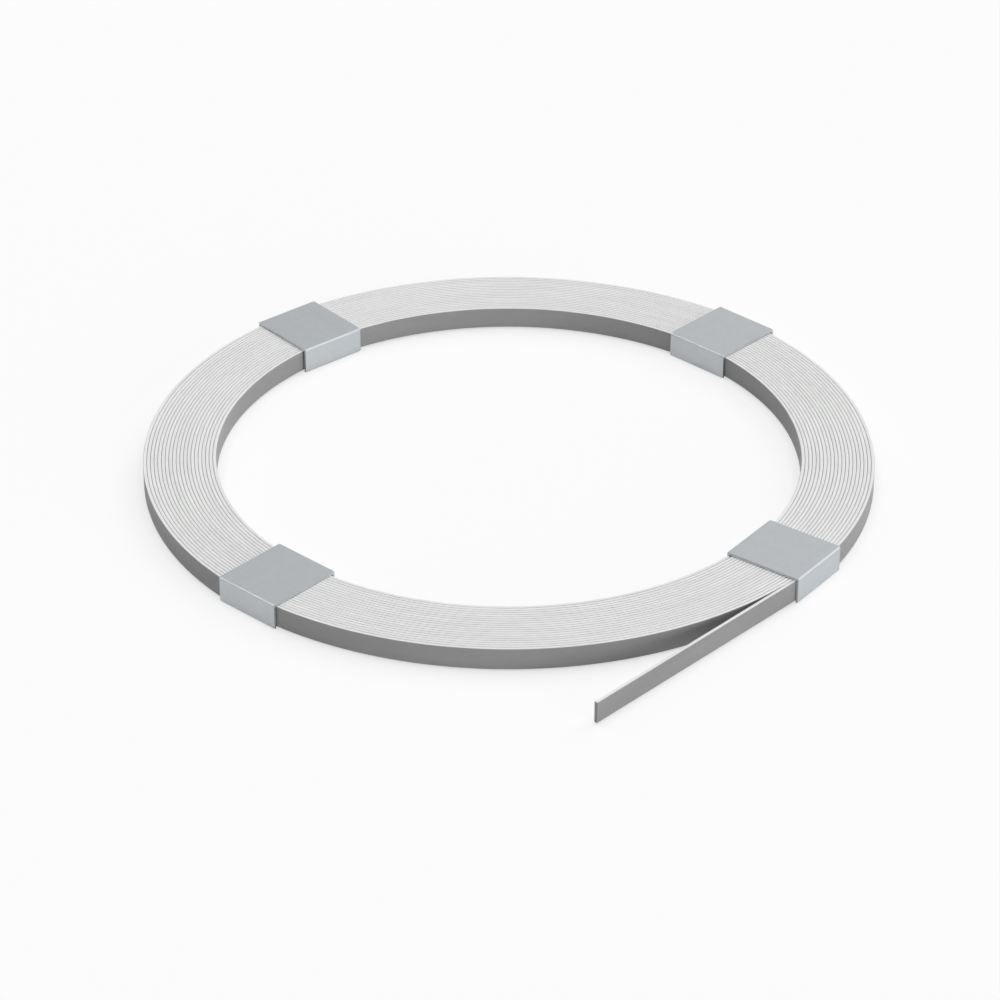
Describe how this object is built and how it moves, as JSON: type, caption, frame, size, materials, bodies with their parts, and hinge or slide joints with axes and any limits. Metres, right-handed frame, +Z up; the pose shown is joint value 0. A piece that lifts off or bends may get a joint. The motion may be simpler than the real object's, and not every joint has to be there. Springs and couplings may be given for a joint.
{
  "type": "steel strip coil",
  "caption": "Flat coil of galvanised steel strip, held by folded sheet clips, with one straight free end standing off its side.",
  "frame": {"origin": "on the coil's axis, at floor level, which is the underside of the clips", "axes": "+Z up along the coil's axis; the free end leaves towards -Y, and +X is to the right as seen from there"},
  "size_m": [0.8123, 0.9073, 0.03],
  "materials": {
    "strip_zinc": "dull hot-dip zinc, brighter on the rolled edges",
    "clip_zinc": "satin zinc-coated sheet"
  },
  "bodies": {
    "root": {"strip_coil": "strip_zinc", "clip_back_left": "clip_zinc", "clip_back_right": "clip_zinc", "clip_front_left": "clip_zinc", "clip_front_right": "clip_zinc"}
  },
  "joints": []
}
